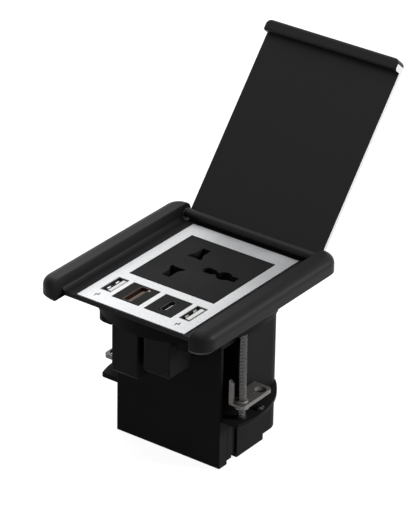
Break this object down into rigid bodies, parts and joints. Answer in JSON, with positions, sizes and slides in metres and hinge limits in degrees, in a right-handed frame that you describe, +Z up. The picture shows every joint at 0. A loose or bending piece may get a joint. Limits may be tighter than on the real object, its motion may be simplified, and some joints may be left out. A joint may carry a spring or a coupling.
{
  "type": "flip-lid table connection box",
  "caption": "Table-top connection box for a round table hole: hinged lid over a universal socket, charging and data ports, swing clamps under the table.",
  "frame": {"origin": "centre of the round table hole, on the table top, under the rails", "axes": "+X to the right, +Y to the hinge at the rear, +Z up out of the table"},
  "size_m": [0.09, 0.1581, 0.1546],
  "materials": {
    "frame_black": "satin black coating",
    "lid_black": "satin black coating, bare at the cut ends",
    "faceplate_silver": "fine sparkling silver",
    "insert_black": "smooth matte",
    "black_plastic": "fine moulded texture",
    "steel": "zinc plated",
    "contact_brass": "plain",
    "tongue_white": "smooth",
    "board_green": "lacquered board",
    "core_yellow": "tape wound",
    "capacitor_blue": "sleeved"
  },
  "bodies": {
    "base": {"bezel_frame": "frame_black", "hinge_pins": "steel", "faceplate": "faceplate_silver", "socket_face": "insert_black", "socket_base": "black_plastic", "contact_live": "contact_brass", "contact_neutral": "contact_brass", "contact_earth": "contact_brass", "hdmi_coupler": "insert_black", "hdmi_shells": "steel", "hdmi_tongues": "black_plastic", "usb_c_coupler": "insert_black", "usb_c_shells": "steel", "usb_c_tongues": "black_plastic", "usb_a_shell_left": "steel", "usb_a_shell_right": "steel", "usb_a_tongue_left": "tongue_white", "usb_a_tongue_right": "tongue_white", "port_boards": "board_green", "housing": "black_plastic", "front_cover": "black_plastic", "charger_board": "board_green", "charger_transformer": "core_yellow", "charger_capacitors": "capacitor_blue", "terminal_block": "black_plastic", "terminal_screws": "steel", "cable_clamp": "black_plastic", "cable_clamp_posts": "black_plastic", "cable_clamp_screws": "steel", "frame_screws": "steel", "parking_screws": "contact_brass"},
    "lid": {"lid": "lid_black"},
    "shutter": {"socket_shutter": "black_plastic"},
    "nut_left": {"clamp_nut_left": "steel"},
    "bracket_left": {"clamp_bracket_left": "steel"},
    "screw_left": {"clamp_screw_left": "steel"},
    "nut_right": {"clamp_nut_right": "steel"},
    "bracket_right": {"clamp_bracket_right": "steel"},
    "screw_right": {"clamp_screw_right": "steel"}
  },
  "joints": [
    {"name": "lid_hinge", "type": "hinge", "parent": "base", "child": "lid", "pos_m": [0, 0.04575, 0.00565], "axis": [1, 0, 0], "range_deg": [0, 130]},
    {"name": "shutter_slide", "type": "slide", "parent": "base", "child": "shutter", "axis": [-1, 0, 0], "range_m": [0, 0.0068], "stiffness_N_per_m": 80, "springref_m": -0.004},
    {"name": "clamp_lift_left", "type": "slide", "parent": "base", "child": "nut_left", "axis": [0, 0, 1], "range_m": [0, 0.021]},
    {"name": "bracket_swing_left", "type": "hinge", "parent": "nut_left", "child": "bracket_left", "pos_m": [-0.0346, 0.0072, -0.045], "axis": [0, 0, -1], "range_deg": [0, 90]},
    {"name": "screw_turn_left", "type": "hinge", "parent": "base", "child": "screw_left", "pos_m": [-0.0346, 0.0072, -0.045], "axis": [0, 0, -1], "range_deg": [0, 10801]},
    {"name": "clamp_lift_right", "type": "slide", "parent": "base", "child": "nut_right", "axis": [0, 0, 1], "range_m": [0, 0.021]},
    {"name": "bracket_swing_right", "type": "hinge", "parent": "nut_right", "child": "bracket_right", "pos_m": [0.0346, -0.0072, -0.045], "axis": [0, 0, -1], "range_deg": [0, 90]},
    {"name": "screw_turn_right", "type": "hinge", "parent": "base", "child": "screw_right", "pos_m": [0.0346, -0.0072, -0.045], "axis": [0, 0, -1], "range_deg": [0, 10801]}
  ],
  "couplings": [
    {"joint": "screw_turn_left", "follows": "clamp_lift_left", "rad_per_m": 8976},
    {"joint": "screw_turn_right", "follows": "clamp_lift_right", "rad_per_m": 8976}
  ]
}
